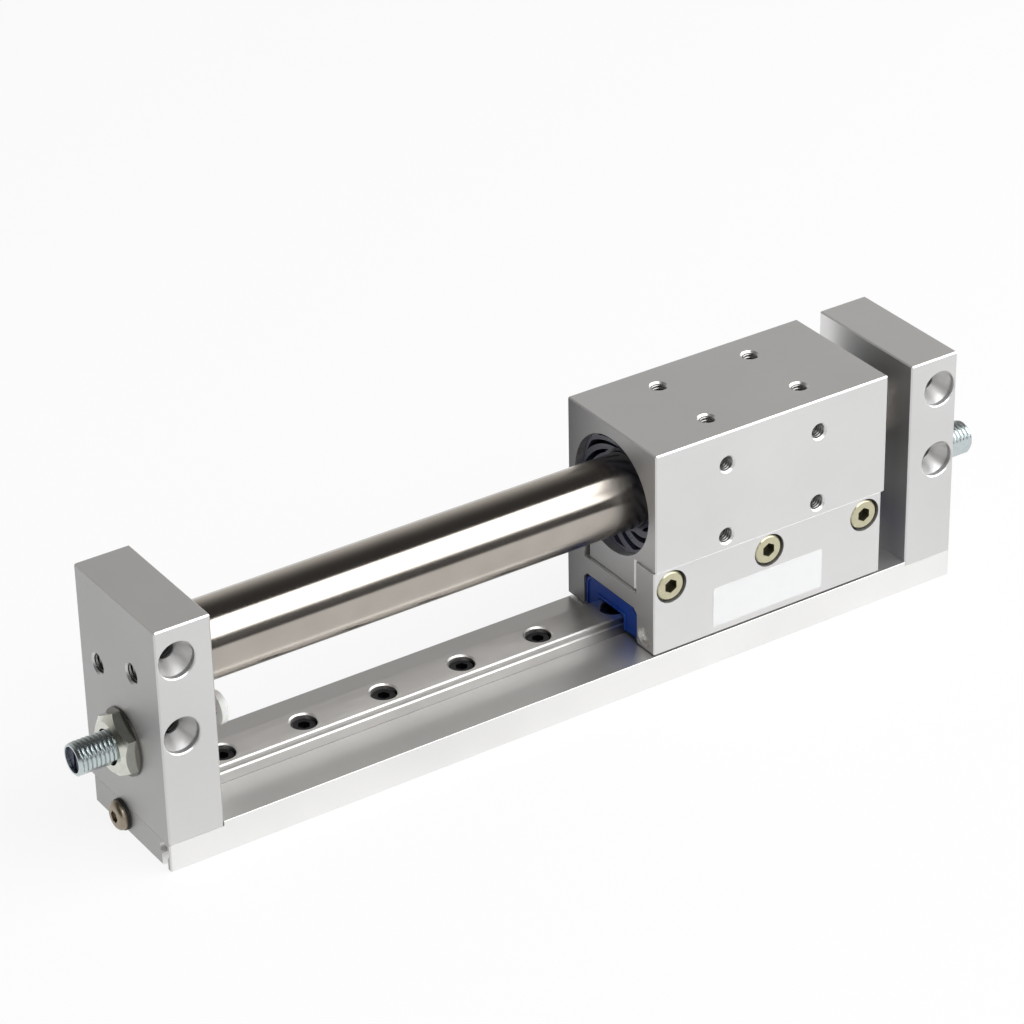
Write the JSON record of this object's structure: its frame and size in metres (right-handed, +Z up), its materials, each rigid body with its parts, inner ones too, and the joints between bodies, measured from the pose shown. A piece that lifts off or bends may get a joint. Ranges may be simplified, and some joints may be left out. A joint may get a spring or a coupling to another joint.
{
  "type": "rodless pneumatic cylinder",
  "caption": "Magnetically coupled rodless air cylinder: a carriage on a rail slides along a round tube between end plates on a base plate, with adjustable damped stops.",
  "frame": {"origin": "centre of the base plate's underside, midway between the end plates", "axes": "+X along the tube towards the end that the carriage is parked at, -Y to the front with the switch groove and the screws, +Z up"},
  "size_m": [0.2341, 0.0336, 0.058],
  "materials": {
    "anodized_aluminium": "satin",
    "ground_steel": "ground",
    "polished_steel": "polished",
    "turned_steel": "turned and plated",
    "black_steel": "black oxide",
    "passivated_steel": "yellow passivated",
    "bronze_plated_steel": "plated",
    "dark_steel": "dark plated",
    "magnet": "nickel plated",
    "yoke_iron": "machined",
    "blue_seal": "matt",
    "black_rubber": "matt",
    "dark_plastic": "moulded",
    "navy_plastic": "moulded",
    "pale_plastic": "moulded"
  },
  "bodies": {
    "frame": {"base_plate": "anodized_aluminium", "left_end_plate": "anodized_aluminium", "right_end_plate": "anodized_aluminium", "cylinder_tube": "polished_steel", "tube_o_rings": "black_rubber", "tube_bumpers": "black_rubber", "guide_rail": "ground_steel", "rail_screws": "black_steel", "plate_screws": "black_steel", "passage_plugs": "bronze_plated_steel", "plug_gaskets": "black_rubber", "left_stop_body": "turned_steel", "right_stop_body": "turned_steel", "stop_end_plugs": "navy_plastic", "lock_nuts": "turned_steel", "lock_washers": "dark_steel"},
    "carriage": {"slide_block": "anodized_aluminium", "guide_saddle": "anodized_aluminium", "saddle_screws": "passivated_steel", "left_guide_block": "ground_steel", "right_guide_block": "ground_steel", "guide_end_caps": "dark_plastic", "guide_end_seals": "blue_seal", "guide_screws": "black_steel", "sensor_magnets": "magnet", "outer_magnets": "magnet", "outer_yokes": "yoke_iron", "wear_ring_holders": "anodized_aluminium", "wear_rings": "pale_plastic", "left_end_ring": "dark_plastic", "right_end_ring": "dark_plastic"},
    "piston": {"piston_shaft": "turned_steel", "inner_magnets": "magnet", "inner_yokes": "yoke_iron", "piston_heads": "anodized_aluminium", "piston_seals": "black_rubber", "piston_wear_bands": "pale_plastic", "piston_nuts": "turned_steel"},
    "left_absorber": {"left_stop_rod": "turned_steel", "left_buffer": "pale_plastic"},
    "right_absorber": {"right_stop_rod": "turned_steel", "right_buffer": "pale_plastic"}
  },
  "joints": [
    {"name": "carriage_slide", "type": "slide", "parent": "frame", "child": "carriage", "axis": [1, 0, 0], "range_m": [-0.0988, 0.0012]},
    {"name": "piston_slide", "type": "slide", "parent": "frame", "child": "piston", "axis": [1, 0, 0], "range_m": [-0.0988, 0.0012]},
    {"name": "left_stop_rod", "type": "slide", "parent": "frame", "child": "left_absorber", "axis": [-1, 0, 0], "range_m": [0, 0.003], "stiffness_N_per_m": 600},
    {"name": "right_stop_rod", "type": "slide", "parent": "frame", "child": "right_absorber", "axis": [1, 0, 0], "range_m": [0, 0.003], "stiffness_N_per_m": 600}
  ],
  "couplings": [
    {"joint": "piston_slide", "follows": "carriage_slide", "ratio": 1}
  ]
}
